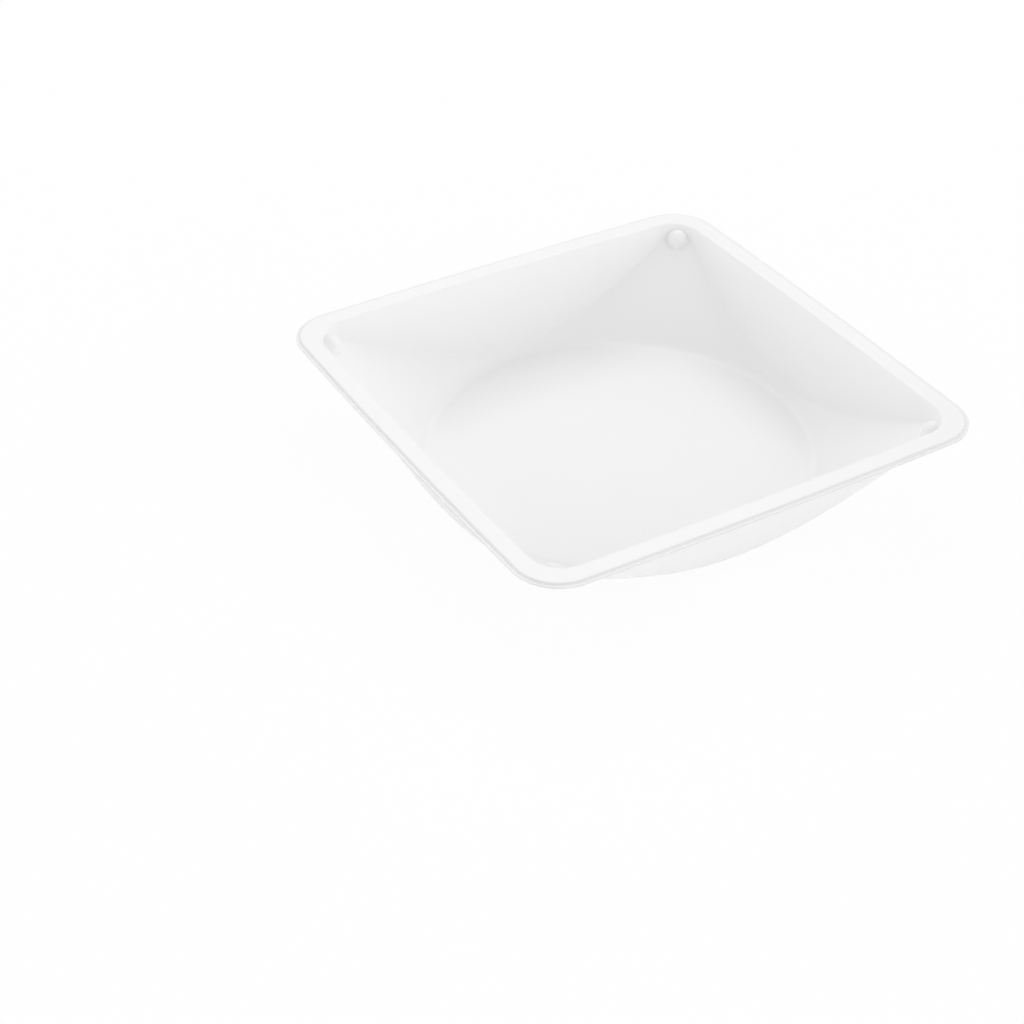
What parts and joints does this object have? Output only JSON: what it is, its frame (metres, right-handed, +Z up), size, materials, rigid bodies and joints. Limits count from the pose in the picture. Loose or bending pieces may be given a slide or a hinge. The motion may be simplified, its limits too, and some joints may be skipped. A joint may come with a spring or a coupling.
{
  "type": "weighing boat",
  "caption": "Square dish of thin white plastic with a round flat floor, sloping bowl, leaning side panels, a flat rounded rim and a button lug in each corner.",
  "frame": {"origin": "middle of the resting face under the floor", "axes": "+Z up out of the dish, +X and +Y square to the sides of the rim"},
  "size_m": [0.14, 0.14, 0.025],
  "materials": {
    "sheet": "white satin polystyrene sheet, very slightly translucent"
  },
  "bodies": {
    "root": {"boat": "sheet"}
  },
  "joints": []
}
